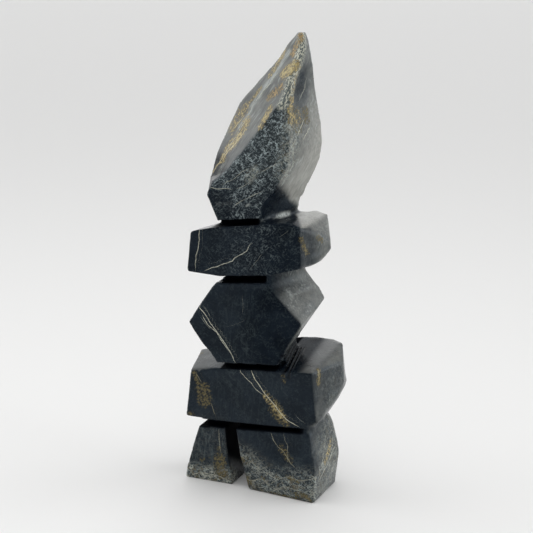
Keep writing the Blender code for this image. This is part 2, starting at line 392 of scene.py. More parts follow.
# --------------------------------------------------------------------------------- markings
# A vein is a thin sheet of mineral that cuts the surface.  Each is drawn as a line on the face
# it shows on, and carried through the stone along that face's normal.
FRONT = (0.0, -1.0, 0.0)
RIGHT = (1.0, 0.0, 0.0)
HEAD_SIDE = (-0.504, -0.812, 0.292)
HEAD_RIGHT = (0.9, -0.4, 0.05)
BACK = (0.0, 1.0, 0.0)
LEFT = (-1.0, 0.0, 0.0)
LEFT_UP = (-0.75, 0.0, 0.66)
VEIN_GROUPS = 3

# face, group, half width in mm, tone, strength, then the line's points.
VEINS = (
    # arms
    (FRONT, 0, 0.26, 0.12, 0.75,
     ((-32.7, 178), (-33, 169.3), (-33.5, 164), (-35.1, 158.5), (-36, 148.4))),
    (FRONT, 0, 0.20, 0.05, 0.9,
     ((-29.7, 148), (-25.7, 150.1), (-19.9, 152.6), (-15.6, 154.7), (-9.9, 157.2), (-5.5, 160.3),
      (0.1, 164.2), (2.2, 168), (4.3, 169.9))),
    (FRONT, 0, 0.10, 0, 0.25, ((2.2, 151.4), (6.7, 157.7), (12, 164))),
    (FRONT, 0, 0.11, 0, 0.25, ((22.7, 174.6), (25.7, 177.7), (29, 180.2))),
    # body
    (FRONT, 0, 0.26, 0.06, 1,
     ((-41, 129.8), (-34.9, 124.6), (-30.9, 120.9), (-27.3, 116.5), (-25.2, 113.4), (-22.4, 109.8),
      (-19.6, 106.2), (-16, 101.8), (-12.5, 96.8), (-10.4, 92.9), (-7.6, 88))),
    (FRONT, 1, 0.20, 0.06, 0.95,
     ((-32, 119.6), (-29.4, 115.1), (-27, 111.9), (-23.6, 109.6), (-21.2, 107.7), (-19.1, 104.3),
      (-16.6, 101), (-13.9, 97.6), (-11.6, 94.6))),
    (FRONT, 2, 0.13, 0, 0.40, ((-30.8, 125.2), (-28.4, 122.2), (-26.4, 119.7), (-26, 116.5))),
    (FRONT, 2, 0.13, 0, 0.35, ((-32.8, 117.4), (-29.9, 113.6), (-26.8, 110.4), (-24.2, 109.4))),
    (FRONT, 2, 0.10, 0, 0.30, ((-2.3, 134.5), (-2.4, 122))),
    (FRONT, 2, 0.09, 0, 0.16, ((-15.9, 112.1), (-9.5, 113.8), (-3.1, 116.9), (0.4, 120))),
    # hips
    (FRONT, 0, 0.18, 0.2, 1,
     ((-4.9, 86), (-4.6, 83), (-1.2, 79.6), (2.7, 76.4), (6.5, 72.1), (12.8, 68.2))),
    (FRONT, 1, 0.28, 0.25, 1,
     ((2.3, 86), (5.7, 79.2), (9.4, 74.9), (12.6, 70), (18.5, 64.4), (23.2, 58.9), (28.5, 53.9),
      (33.8, 51.7), (36.9, 50.2))),
    (FRONT, 2, 0.11, 0, 0.4, ((33.8, 59), (37.3, 55.4), (41.4, 53.3))),
    (FRONT, 2, 0.16, 0.6, 0.5, ((-36.5, 77.7), (-32.4, 71.2))),
    (FRONT, 2, 0.16, 0.6, 0.5, ((-25.9, 58.7), (-23.1, 49.2))),
    # left leg
    (FRONT, 0, 0.17, 0.3, 0.8, ((-20.7, 40.2), (-20.9, 33), (-20.5, 29.2), (-19.5, 22.2))),
    (FRONT, 0, 0.24, 0.1, 0.8,
     ((-45.6, 6.8), (-41.8, 2.6), (-36.3, 4.6), (-28, 5.3), (-21, 4.5), (-14.3, 2.3))),
    # right leg
    (FRONT, 0, 0.16, 0.4, 0.6,
     ((16.9, 44.4), (19, 39.2), (22.5, 34.8), (26.7, 32), (31, 25.6), (35.2, 22.1))),
    (FRONT, 1, 0.14, 0.3, 0.5,
     ((26, 45.1), (27.4, 40.5), (29.5, 35.9), (29.5, 32.4), (28.9, 24.6))),
    (FRONT, 2, 0.30, 0.1, 0.25, ((-8.2, 24.1), (2.6, 20.9), (11.2, 16.6), (20.5, 12.5))),
    (FRONT, 1, 0.22, 0.2, 0.45, ((15.5, 6.6), (24, 13.1), (31, 15.7), (38, 14.1), (45.6, 16.1))),
    (FRONT, 0, 0.20, 0.3, 0.45, ((-2.5, 8.5), (2.5, 6.5), (11.2, 10.2), (18, 4))),
    (FRONT, 2, 0.20, 0.2, 0.45, ((16.9, 1.8), (27.5, 8), (35.3, 7.2), (44.5, 6.6))),
    (FRONT, 0, 0.18, 0.1, 0.4, ((25, 2), (33, 11), (41, 10))),
    # head, left facet
    (HEAD_SIDE, 0, 0.40, 0.08, 0.45,
     ((-32.9, 3.5, 208.2), (-24, -1.6, 219.9), (-13.8, -3.9, 233.6), (-5.5, -3.9, 246.7),
      (-2.9, -3.4, 252.4), (0.9, -2.7, 258.7), (11.2, -4.8, 269.7), (17.8, -4.8, 277.2))),
    (HEAD_SIDE, 1, 0.43, 0.75, 1,
     ((-23, -3.2, 218.3), (-18.5, -4.5, 224.5), (-11.6, -7.3, 231), (-7.6, -7.5, 235.9),
      (-3.7, -7.5, 242.1))),
    (HEAD_SIDE, 2, 0.40, 0.8, 0.9, ((-17.2, 0.7, 237.4), (-13, -0.8, 242.2), (-8.6, -1.2, 247.5))),
    (HEAD_SIDE, 2, 0.31, 0.8, 0.9, ((18.6, 1.7, 287.8), (14.3, 0.8, 281.6), (10.8, -2.2, 273.8))),
    # head, rough face
    (FRONT, 0, 0.24, 0, 0.7, ((-26, 203.8), (-20, 202.9), (-14.4, 203.4), (-8.8, 203))),
    (FRONT, 1, 0.19, 0, 0.55, ((-17, 205.4), (-8.1, 210.2), (-1.5, 215), (2.5, 218.4))),
    (FRONT, 0, 0.19, 0, 0.5, ((8.8, 214.6), (18.8, 220.3), (23.8, 223))),
    (FRONT, 2, 0.19, 0, 0.5, ((-6.7, 203.7), (-1.9, 205.5), (3.5, 209.4))),
    (FRONT, 1, 0.19, 0, 0.5, ((-9.6, 191.3), (-1.6, 197.3), (5.5, 200.4), (12.6, 203.7))),
    # head, right side
    (HEAD_RIGHT, 0, 0.30, 0.1, 0.7,
     ((31, -11.3, 237.3), (32.2, -7.5, 243.1), (33.3, -3.3, 248.8))),
    (HEAD_RIGHT, 1, 0.30, 0.1, 0.7, ((32.9, -7.5, 233.9), (34.6, -3.1, 239), (35.9, 0.6, 243))),
    (HEAD_RIGHT, 2, 0.26, 0.1, 0.5,
     ((28.7, -17.3, 229.9), (30.1, -14, 233.9), (31, -11.3, 237.3))),
    (HEAD_RIGHT, 0, 0.22, 0.1, 0.5, ((30.6, -8, 258), (32.5, -2.5, 266), (33, 0.5, 273))),
    # right-hand faces
    (RIGHT, 0, 0.31, 0.8, 0.5, ((47.3, -12, 88.6), (47.9, -13.7, 81.1))),
    (RIGHT, 0, 0.24, 0.8, 0.3, ((38.5, -14.8, 170.3), (38.6, -15, 162.6))),
    (RIGHT, 0, 0.20, 0, 0.6, ((48.2, -0.6, 42.5), (48.7, -7.7, 30.5), (48.5, -14.6, 17.8))),
    (RIGHT, 1, 0.24, 0, 0.7, ((51.6, 10.2, 32.4), (50, -5.2, 20.5), (48.1, -17.2, 12.4))),
    (RIGHT, 2, 0.20, 0, 0.6, ((51.6, 4.6, 23.9), (50.4, 2.4, 10.2))),
)
# the same veins where they come out on the left and the back
FAR_VEINS = (
    (LEFT_UP, 0, 0.34, 0.06, 0.9,
     ((-34.6, -19, 124.6), (-36.6, -9, 122.6), (-36.4, 2, 122.8), (-34, 12, 125.6),
      (-31, 19, 129))),
    (BACK, 0, 0.34, 0.06, 0.9, ((-31, 19, 129), (-22, 19, 118), (-14, 19, 104), (-9, 19, 92))),
    (BACK, 1, 0.20, 0.06, 0.7, ((-26, 19, 123), (-20, 19, 112), (-16, 19, 106))),
    (BACK, 0, 0.26, 0.20, 0.9, ((-4, 21, 88), (8, 21, 74), (21, 21, 63), (34, 21, 52))),
    (BACK, 0, 0.22, 0.10, 0.7, ((-34, 19, 178), (-31, 19, 166), (-33, 19, 152))),
    (BACK, 1, 0.20, 0.05, 0.7, ((-22, 19, 152), (-8, 19, 158), (6, 19, 170))),
    (BACK, 0, 0.24, 0.40, 0.7, ((14, 19, 44), (24, 19, 32), (30, 19, 20))),
    (BACK, 1, 0.30, 0.30, 0.8, ((-12, 15, 200), (0, 15, 222), (12, 14, 240), (20, 12, 262))),
    (BACK, 2, 0.22, 0.60, 0.7, ((4, 15, 214), (12, 14, 232), (24, 10, 252))),
    (LEFT, 1, 0.26, 0.10, 0.7,
     ((-45, -17, 164), (-46, -8, 166.6), (-46, 2, 168.2), (-45, 12, 168))),
    (LEFT, 0, 0.24, 0.20, 0.7, ((-42, -17, 74), (-43, -9, 70.8), (-44, 0, 69.2), (-44, 12, 70.2))),
    (LEFT, 2, 0.24, 0.10, 0.7, ((-46, -15, 6.8), (-46, -7, 9.2), (-46, 2, 10.6), (-46, 12, 10.4))),
)
VEIN_REACH = 3.0             # mm each side of a vein where its distance is kept
VEIN_DEPTH = 14.0            # mm through the stone
VEIN_TAPER = 5.0             # mm over which the ends run out
VEIN_WANDER = ((7.0, 0.55), (2.0, 0.55))    # lump size and sideways wander, mm
NO_VEIN = 9.0                # mm, stands for "far from any vein"

# Soft-edged patches.  Each is a band: its radius, its strength, then the points it runs through.
OLIVE_BANDS = (
    # hips
    (4.5, 0.95, ((-31.6, -19, 66.5), (-30.6, -19, 59.5))),
    (1.5, 0.85, ((-38, -19, 78), (-35, -19, 71))),
    (1.8, 0.6, ((-42, -19, 48.5), (-40, -19, 48))),
    (2.6, 0.75, ((18, -19, 60), (22, -19, 55.5), (28, -19, 51))),
    (2, 0.6, ((13, -19, 70), (20, -19, 65), (24, -19, 60))),
    (1.4, 0.5, ((25.4, -19, 84), (26.1, -19, 80))),
    # left leg
    (1.6, 0.7, ((-20.6, -18, 26), (-20.4, -18, 21))),
    (3.9, 1, ((-20.8, -18, 17), (-20, -17, 7))),
    (1.2, 1.1, ((-19, -18, 22), (-17.4, -18, 15))),
    (1.3, 1.1, ((-21.5, -17, 8), (-19.6, -17, 5))),
    (1.3, 0.6, ((-34.3, -17, 15.2), (-32.8, -17, 16))),
    (1.1, 0.5, ((-28.3, -18, 17.5), (-28, -18, 18))),
    # right-hand ends
    (1.7, 1, ((47.3, -12, 88.6), (47.9, -13.7, 80))),
    (1.7, 0.6, ((36.7, -18, 175), (38.3, -15.3, 167.5), (39.4, -12.7, 165))),
    (1.7, 0.9, ((42.7, -3.4, 173.4), (44.1, 0.2, 171))),
    (4.6, 0.55, ((30, -12, 252), (31, -9.5, 244))),
    (2.4, 0.7, ((33.4, -3, 253), (34, -2, 246))),
    # far sides
    (4.5, 0.8, ((24, 21, 72), (33, 21, 62))),
    (3.5, 0.8, ((-36, 21, 84), (-32, 21, 66))),
    (3, 0.7, ((-44, 2, 84), (-44, 8, 70))),
    (3, 0.7, ((20, 19, 172), (27, 19, 164))),
    (3, 0.8, ((20, 19, 16), (34, 19, 8))),
    (3, 0.7, ((-46, 0, 26), (-46, 8, 16))),
    (4, 0.8, ((-4, 16, 216), (8, 15, 234), (16, 14, 250))),
    # right leg
    (2.2, 0.62, ((24.6, -20, 34.5), (28.2, -20, 30.1), (31, -20, 27))),
    (2.6, 0.8, ((-1.8, -19, 7.9), (1.1, -19, 4.8))),
    (1.4, 0.7, ((-4.3, -19, 22), (-2.6, -19, 20))),
    (1.3, 0.6, ((11.2, -19.8, 11), (12.4, -19.8, 10.4))),
    (1.4, 0.7, ((30.2, -21.3, 15.8), (36.7, -21.5, 13.2))),
    (1.6, 0.85, ((36, -21.7, 4.6), (43.7, -22.1, 4), (45.4, -22.3, 1.4))),
    (1.2, 0.7, ((6.1, -19.6, 0.6), (16.9, -20.2, 0.6), (28, -21, 0.8), (38, -21.6, 0.8))),
)
GOLD_BANDS = (
    (1.9, 0.85, ((14, -19, 67.5), (18.5, -19, 63), (23, -19, 58), (27, -19, 54.5))),
    # right-hand faces
    (1.7, 0.7, ((52.4, 2.5, 35.5), (51.2, -1.7, 28.6), (50.6, -7.9, 23.4))),
    # head, left side
    (0.9, 0.9, ((-33.3, 4.4, 209.4), (-24.9, -1.4, 217.9))),
    (3.7, 0.9,
     ((-22.8, -2.4, 220.5), (-19.3, -2.5, 226.1), (-13.9, -5.3, 231.2), (-9.5, -5.9, 236),
      (-5.5, -5.4, 244.3))),
    (3.8, 0.65, ((-18.4, 1.9, 238.5), (-12.4, 1.1, 247.8), (-8.3, -0.2, 251.8))),
    (1.3, 0.8, ((-8.3, -0.2, 251.8), (-4.8, -0.5, 256.4), (3.1, -1.4, 265.5))),
    (2, 0.9, ((9.2, -1.6, 273.1), (12.9, -0.7, 278), (16.3, 0.7, 283.5), (18.6, 1.7, 287.8))),
    (3.6, 1.3, ((22.4, -8.9, 275.3), (24.9, -9.6, 277.7), (28, -9.8, 280.4))),
    # head, along the ridge and right of it
    (2.2, 1, ((8.4, -16.4, 243.3), (11.1, -14.5, 248.5), (13.8, -13, 254))),
    (1.3, 0.45, ((29.9, -9, 276.6), (28.9, -11.4, 269.5), (28.3, -13.1, 262.4))),
    (1.5, 0.8, ((28.3, -13.1, 260.4), (27.9, -15, 254.5), (28.4, -15.2, 246.5))),
    (1.1, 0.7, ((29.4, -12.5, 250.5), (30.8, -9.8, 245))),
    (1, 0.6, ((31, -8.5, 253), (31.8, -7.2, 247))),
)
RUST_BANDS = (
    (2.3, 0.80, ((11.4, -8, 260.4), (14.9, -9.1, 262.8), (20.5, -10.7, 267.2))),
    (2.2, 1, ((25.3, -3.8, 287), (26.9, -2.9, 291.8), (28.9, -3.2, 295.4), (30, -2.8, 298))),
    (1, 0.6, ((-14.5, 1.2, 243.5), (-12.4, 1.1, 247))),
    (0.9, 0.6, ((13.2, -0.5, 279), (15.5, 0.5, 282.5))),
)
CRYSTAL_BANDS = (
    (3.4, 1.1,
     ((31, -2.7, 298), (30.4, -5.4, 290.8), (30, -7.6, 285.5), (29.6, -10, 280.2),
      (28, -12.4, 274.4), (26.8, -13.9, 268.4), (25.8, -14.8, 262.5), (23, -15.4, 257.4))),
)
PALE_AND_HIGHLIGHT_BANDS = (
    (1.7, 0.75,
     ((-10.7, -2.9, 240.6), (-5.5, -3.9, 246.7), (-2.9, -3.4, 252.4), (0.9, -2.7, 258.7),
      (5.8, -2.9, 265.7), (11, -4.4, 270.9), (15.4, -3.6, 276.4), (18.5, -1.6, 282.5),
      (22.3, -1.2, 288))),
    (1.5, 0.2, ((-24, -4, 211), (-19, -7, 219))),
    # painted highlight: a bright smear on the body's upper right facet
    (1.9, 0.4, ((25, -8, 139.5), (26, -8, 133))),
    (0.7, 0.6, ((0.5, -19, 193.4), (2.2, -19, 194.4))),
    (0.9, 0.10, ((-20, -19, 193), (-10, -19, 194.5))),
    # painted highlight: glints of the polish on the scoop below the head
    (2.1, 1.05, ((15.8, -5, 184.4), (17.4, -1, 185.2), (18.8, 4, 185.8))),
    (0.9, 1.2, ((14.5, -10, 183.8), (17, -3, 185), (18.6, 4, 185.9))),
    (0.9, 1.1, ((15.5, -6.8, 183.2), (17.6, -1, 184.4))),
    (0.6, 0.5, ((9.8, -16.4, 184.2), (12.8, -12, 185.6))),
)
# painted shade: the thin black tail at the left end of the hips' kerf
KERF_TAIL_SHADOW_BANDS = (
    (0.7, 1, ((-26, -17.5, 82.6), (-20, -10, 84.6))),
)
CLOUD_BANDS = (
    # right leg
    (7, 0.38,
     ((-9, -19, 26), (2.6, -19.4, 22), (11.2, -19.9, 17), (22, -20.3, 13), (46.3, -22, 16))),
    (3.2, 0.9,
     ((-9, -19, 25), (2.6, -19.4, 20.9), (11.2, -19.9, 16.6), (20.5, -20.3, 12.5), (31, -21, 12.9),
      (46.3, -22, 16.5))),
    (7.5, 0.85, ((4, -19, 7), (20, -20, 5))),
    (8.5, 0.85, ((20, -20, 4), (44, -22, 6))),
    # left leg
    (8, 1.2, ((-44, -16, 3), (-30, -16, 2), (-16, -16, 3))),
    (14, 0.10, ((-31, -17, 10), (-30, -17, 34))),
    # right-hand side of the right leg
    (13, 0.60, ((51, -8, 8), (53, 4, 18))),
    (12, 0.50, ((55, -4, 34), (55, 8, 40))),
    (3.5, 0.9, ((47, -19, 15), (50.4, -10, 22.3), (52.5, 0, 29.3), (55.7, 8, 38))),
    (12, 0.15, ((55, 0, 66), (55, 8, 84))),
    # far sides
    (10, 0.8, ((-20, 19, 2), (10, 19, 6), (40, 19, 2))),
    (6, 0.5, ((10, 19, 20), (36, 19, 30))),
    (9, 0.6, ((-46, -10, 4), (-46, 12, 8))),
    (7, 0.3, ((-30, 19, 160), (30, 19, 168))),
    (9, 0.3, ((-20, 21, 62), (30, 21, 80))),
    (10, 0.45, ((-14, 15, 196), (14, 15, 214))),
    # arms and head
    (3, 0.6, ((2.5, -19, 211), (6.5, -19, 216))),
    (3, 0.35, ((-25.7, -6, 209), (-20.3, -8, 217))),
    (6, 0.6, ((30, -14, 250), (29.5, -16, 232), (26, -16, 214))),
)


def band_field(points, bands):
    """The strongest band at each point: full at its middle line, gone at 1.7 radii."""
    total = np.zeros(len(points))
    for radius, strength, line in bands:
        line = np.array(line, float)
        low, high = line.min(axis=0) - 2 * radius, line.max(axis=0) + 2 * radius
        index = np.nonzero(((points > low) & (points < high)).all(axis=1))[0]
        near = points[index]
        distance = np.full(len(index), 1e9)
        for start, end in zip(line[:-1], line[1:]):
            step = end - start
            t = np.clip((near - start) @ step / (step @ step), 0.0, 1.0)
            apart = np.linalg.norm(near - start - t[:, None] * step, axis=1)
            distance = np.minimum(distance, apart)
        inside = 1.0 - smooth_step(distance, 0.4 * radius, 1.7 * radius)
        total[index] = np.maximum(total[index], strength * inside)
    return total


# Top of the painted dark reflection in the scoop at the right of the head's foot: (y, z) along it.
SCOOP_TOP = ((-19, 209.5), (-12.5, 206), (-5.6, 202.8), (2.1, 196.3), (11.3, 188.7),
             (15, 186.5))


def scoop(points, normals):
    """The hollow under the right of the head's foot, where a dark reflection of the head is
    painted: no grey, no sheen and less shine there.
    """
    x, y, z = points.T
    top = np.interp(y, *np.array(SCOOP_TOP).T)
    below = 1.0 - smooth_step(z - top + 1.5 * noise_field(points, 3.0, 17.0), -3.5, 2.5)
    below *= smooth_step(z, 178.0, 181.0) * (1.0 - smooth_step(x, 29.0, 33.0))
    return below * smooth_step(normals[:, 0], 0.15, 0.4)


def arms_corner(points):
    """How far a point of the arms' top lies beyond the left edge of its painted bright corner, mm.
    """
    return points[:, 0] - 22.0 - 0.5 * (12.0 - points[:, 1])


# Heights that part the legs, the hips, the body and the arms on the right face, mm.
HIPS_FOOT, BODY_FOOT, ARMS_FOOT, HEAD_FOOT = 51.0, 98.0, 152.0, 186.0


def honed_and_lit_faces(points, normals):
    """How grey and how little polished a face is: most on the sides of the head. Partly painted
    light: the right-hand faces and the head's sides are painted grey where the light falls.
    """
    x, y, z = points.T
    # painted light: only the faces turned to the right, towards the brightest light, are painted
    # grey
    facing = smooth_step(normals[:, 0], 0.3, 0.7)
    legs = 0.25 * (z < HIPS_FOOT)
    hips = (0.27 + 0.38 * (1.0 - smooth_step(z, 58.0, 78.0)))
    hips *= (z >= HIPS_FOOT) & (z < BODY_FOOT)
    body = 0.85 * ((z >= BODY_FOOT) & (z < ARMS_FOOT)) * smooth_step(x, 16.0, 27.0)
    # painted light on the arms' right end: lighter towards the back, as light falls on a rounded
    # end
    arms = ((z >= ARMS_FOOT) & (z < HEAD_FOOT)) * (0.28 + 0.5 * smooth_step(y, -11.0, 1.0))
    right = facing * (legs + hips + body + arms)
    head = smooth_step(z, 180.0, 190.0) * (1.0 - rough_face(points, normals))
    head *= smooth_step(np.abs(normals[:, 0]), 0.2, 0.45)
    # darker at the head's lower left, and a painted shade (dusk) high on its right side
    left_foot = 1.25 * blob(points, (-29.0, -3.0, 206.0), (12.0, 20.0, 16.0))
    left_foot *= normals[:, 0] < 0
    dusk = blob(points, (31.0, -5.0, 266.5), (8.0, 8.0, 12.0), 0.5) * (normals[:, 0] > 0)
    head *= 1.0 - 0.7 * np.maximum(left_foot, dusk)
    # darker towards the bottom of the head's left side
    head *= 1.0 - 0.34 * (normals[:, 0] < 0) * (1.0 - smooth_step(z, 222.0, 245.0))
    return np.maximum(right, head) * (1.0 - scoop(points, normals))


def painted_sheen(points, normals):
    """Painted highlight: how much paler a face is painted where the light falls on it and the
    polish mirrors the bright room: head sides, right-hand faces and tops.
    """
    x, y, z = points.T
    right = smooth_step(normals[:, 0], 0.3, 0.7)
    head_right = right * smooth_step(z, 186.0, 196.0) * (1.0 - smooth_step(z, 255.0, 285.0))
    head_right *= smooth_step(y - 0.35 * (z - 225.0), -20.0, 6.0)
    head_foot = 0.20 * right * window(z, 196.0, 226.0, 6.0)
    head_left = 0.30 * smooth_step(-normals[:, 0], 0.2, 0.5) * smooth_step(z, 222.0, 245.0)
    body_right = 0.22 * right * window(z, 112.0, 146.0, 4.0) * smooth_step(x, 20.0, 34.0)
    arms_right = right * smooth_step(y, -4.0, 8.0) * (
        0.12 * window(z, 156.0, 184.0, 4.0) + 0.10 * window(z, 170.0, 186.0, 5.0))
    up = smooth_step(normals[:, 2], 0.5, 0.8)
    # painted reflection: the bright corner of the arms' top, where the polish mirrors the bright
    # room behind
    arms_top = 0.95 * up * window(z, 176.0, 188.0, 1.0)
    arms_top *= smooth_step(arms_corner(points), -1.5, 1.5) * (1.0 - smooth_step(x, 36.0, 42.0))
    # painted highlight along the arms' top right edge
    edge = 0.45 * right * smooth_step(normals[:, 2], 0.45, 0.75) * window(z, 172.0, 188.0, 2.0)
    arms_top = np.maximum(arms_top, edge * smooth_step(y, -12.0, -3.0))
    # painted reflection on the two ends of the hips' top
    hips_top = 0.30 * up * window(z, 76.0, 98.0, 1.0) * smooth_step(np.abs(x - 6.0), 28.0, 36.0)
    worn = np.maximum.reduce([head_right, head_foot, head_left, body_right, arms_right])
    return np.maximum.reduce([worn, arms_top, hips_top]) * (1.0 - scoop(points, normals))


def shaded(points, normals):
    """Painted shade: less shine, so the stone comes out dark, in the hips' crease, on the neck,
    the arms' top and end, the fronts' right and the scoop; less on the rough face too.
    """
    x, y, z = points.T
    up = smooth_step(normals[:, 2], 0.35, 0.7)
    front = smooth_step(-normals[:, 1], 0.6, 0.9)
    crease = up * window(z, 85.0, 97.0, 1.5) * smooth_step(x, 15.0, 20.0)
    crease *= 1.0 - smooth_step(x, 33.0, 42.0)
    arms_top = up * window(z, 177.0, 187.0, 1.5) * smooth_step(x, 4.0, 8.0)
    arms_top *= 1.0 - smooth_step(arms_corner(points), -1.5, 1.5)
    arms_top *= 1.0 - smooth_step(normals[:, 0], 0.35, 0.55) * smooth_step(y, -13.0, -6.0)
    neck = window(z, 133.0, 152.0, 2.0) * smooth_step(normals[:, 0], 0.2, 0.5)
    neck *= 1.0 - smooth_step(x, 13.0, 27.0)
    body_front = front * window(z, 92.0, 138.0, 5.0) * (0.35 + 0.65 * smooth_step(x, -12.0, 20.0))
    arms_front = front * window(z, 146.0, 184.0, 3.0) * (0.45 + 0.5 * smooth_step(x, 0.0, 24.0))
    left_foot = 1.1 * blob(points, (-26.0, -5.0, 208.0), (14.0, 18.0, 17.0))
    left_foot *= smooth_step(-normals[:, 0], 0.3, 0.5)
    arms_end = 0.2 * window(z, 152.0, 184.0, 3.0) * smooth_step(normals[:, 0], 0.3, 0.6)
    arms_end *= 1.0 - smooth_step(y, -14.0, 1.0)
    chamfer = 0.7 * window(z, 172.0, 184.0, 1.5) * smooth_step(x, 30.0, 34.0)
    chamfer *= smooth_step(normals[:, 2], 0.2, 0.45) * (1.0 - smooth_step(y, -13.0, -4.0))
    arms_end = np.maximum(arms_end, chamfer)
    # painted shade of the scoop's dark reflection
    hollow = 0.4 * scoop(points, normals)
    ends = np.maximum.reduce([arms_end, hollow, 0.5 * rough_face(points, normals)])
    return np.maximum.reduce([crease, arms_top, neck, body_front, arms_front, left_foot, ends])


def stunned(points, normals):
    """How densely the stun marks lie: on the rough face, and thinly on the arms' front."""
    x, _, z = points.T
    plain_corner = window(x, -40.0, -12.0, 3.0) * (1.0 - smooth_step(z, 201.5, 204.0))
    lower = 1.0 - smooth_step(z, 194.0, 222.0)
    rough = rough_face(points, normals) * (1.0 - 0.70 * plain_corner) * (1.0 - 0.42 * lower)
    arms = 0.19 * smooth_step(-normals[:, 1], 0.5, 0.85) * window(z, 150.0, 184.0, 4.0)
    arms *= smooth_step(x, -34.0, 6.0) * (1.0 - 0.6 * smooth_step(x, 12.0, 28.0))
    return np.maximum(rough, arms)


def dusty(points, normals):
    """Where a front still shows the upright strokes of the grinding."""
    x, _, z = points.T
    front = smooth_step(-normals[:, 1], 0.6, 0.9)
    left_leg = window(x, -50.0, -14.0, 2.0) * (1.0 - smooth_step(z, 30.0, 46.0))
    right_leg = 0.20 * smooth_step(x, -12.0, -8.0) * (1.0 - smooth_step(z, 40.0, 48.0))
    body = 0.25 * window(x, -16.0, 4.0, 6.0) * window(z, 96.0, 134.0, 5.0)
    hips = 0.25 * window(x, -20.0, 20.0, 8.0) * window(z, 48.0, 84.0, 4.0)
    return front * np.maximum.reduce([left_leg, right_leg, body, hips])


def vein_field(points, normals, group):
    """Signed distance to the group's nearest vein, its half width, tone and strength there."""
    field = np.zeros((len(points), 3), np.float32)
    field[:, 0] = NO_VEIN
    power = np.zeros(len(points), np.float32)
    for face, owner, half, tone, strength, line in VEINS + FAR_VEINS:
        if owner != group:
            continue
        normal = np.array(face) / np.linalg.norm(face)
        line3 = np.array([p if len(p) == 3 else (p[0], -19.0, p[1]) for p in line], float)
        level = points @ normal
        near = (np.abs(level - (line3 @ normal).mean()) < VEIN_DEPTH) & (normals @ normal > 0.35)
        low = line3.min(axis=0) - VEIN_REACH * 2
        high = line3.max(axis=0) + VEIN_REACH * 2
        across = np.abs(normal) < 0.7
        for axis in range(3):
            if across[axis]:
                near &= (points[:, axis] > low[axis]) & (points[:, axis] < high[axis])
        index = np.nonzero(near)[0]
        if not len(index):
            continue
        side = np.cross((0.0, 0.0, 1.0), normal)
        side /= np.linalg.norm(side)
        up = np.cross(normal, side)
        uv = np.stack([points[index] @ side, points[index] @ up], axis=1)
        for lump, size in VEIN_WANDER:
            sideways = noise_field(points[index], lump, half * 10 + len(line))
            uv[:, 0] += size * sideways
            uv[:, 1] -= size * sideways * 0.5
        path = np.stack([line3 @ side, line3 @ up], axis=1)
        distance, along, length = path_distance(uv, path)
        ends = np.minimum(along, length - along)
        width = half * smooth_step(ends, -0.5, min(VEIN_TAPER, length / 3))
        closer = (np.abs(distance) < VEIN_REACH) & (np.abs(distance) < np.abs(field[index, 0]))
        chosen = index[closer]
        field[chosen, 0] = distance[closer]
        field[chosen, 1] = width[closer]
        field[chosen, 2] = tone
        power[chosen] = strength
    return field, power


def path_distance(points, path):
    """Signed distance to a path in the plane, and where along it, in millimetres."""
    best = np.full(len(points), 1e9)
    along = np.zeros(len(points))
    walked = 0.0
    for start, end in zip(path[:-1], path[1:]):
        step = end - start
        length = np.linalg.norm(step)
        step = step / length
        offset = points - start
        raw = offset @ step
        t = np.clip(raw, 0.0, length)
        apart = np.linalg.norm(offset - t[:, None] * step, axis=1)
        sign = np.sign(offset[:, 0] * step[1] - offset[:, 1] * step[0])
        closer = apart < np.abs(best)
        best[closer] = (apart * np.where(sign == 0, 1.0, sign))[closer]
        along[closer] = (walked + t)[closer]
        walked += length
    return best, along, walked


def store(mesh, name, values):
    """Keep one value or one vector per vertex as a named attribute."""
    kind = "FLOAT" if values.ndim == 1 else "FLOAT_VECTOR"
    layer = mesh.attributes.new(name, kind, "POINT")
    layer.data.foreach_set("value" if kind == "FLOAT" else "vector",
                           values.astype(np.float32).ravel())


def mark(skin):
    """Store the fields that the finish is made from."""
    mesh = skin.data
    points = drawing(positions(mesh))
    normals = normals_of(mesh)
    for group in range(VEIN_GROUPS):
        field, power = vein_field(points, normals, group)
        store(mesh, "vein_%d" % group, field)
        store(mesh, "vein_power_%d" % group, power)
    for name, bands in (("olive", OLIVE_BANDS), ("gold", GOLD_BANDS), ("rust", RUST_BANDS),
                        ("pale_and_highlight", PALE_AND_HIGHLIGHT_BANDS), ("cloud", CLOUD_BANDS),
                        ("crystals", CRYSTAL_BANDS)):
        store(mesh, name, band_field(points, bands))
    for name, mask in (("honed_and_lit", honed_and_lit_faces), ("painted_sheen", painted_sheen), ("shaded", shaded),
                       ("dusty", dusty), ("rough_face", rough_face), ("stun", stunned)):
        store(mesh, name, mask(points, normals))
    flutes, worked = flute_field(points)
    # painted shade: black in the flutes' grooves and along the kerf's thin tail
    grooves = worked * smooth_step(-flutes, -0.6, 0.4)
    store(mesh, "groove_shadow", np.maximum(grooves, band_field(points, KERF_TAIL_SHADOW_BANDS)))
    store(mesh, "worked", worked)
    store(mesh, "kerf_shadow", np.maximum(kerf_mask(points), slot_mask(points, normals)))


# ------------------------------------------------------------------------------- the finish
# Strokes, from noise drawn out along its turn.  Each has its lump size in mm, its turn from
# upright in degrees and the noise value at which it starts.
FLAKES = ((0.85, 42, 0.54), (1.05, -46, 0.55), (0.78, 85, 0.56))
FLAKE_SHAPE = {"tilt": 15, "stretch": 3.0, "soft": 0.10}
FIBRES = ((1.05, -55, 0.53), (0.95, 63, 0.54), (0.85, 8, 0.56))
FIBRE_SHAPE = {"tilt": 20, "stretch": 3.5, "soft": 0.09}
# Wandering lines.  Each has its lump size in mm, turn, stretch, tilt and half width, which is
# in units of the noise.
HAIRS = ((13.0, 40, 2.5, 0, 0.012), (16.0, -48, 2.8, 10, 0.010))
THREADS = ((5.0, 62, 2.4, 0, 0.030), (4.2, -58, 2.4, 9, 0.026))

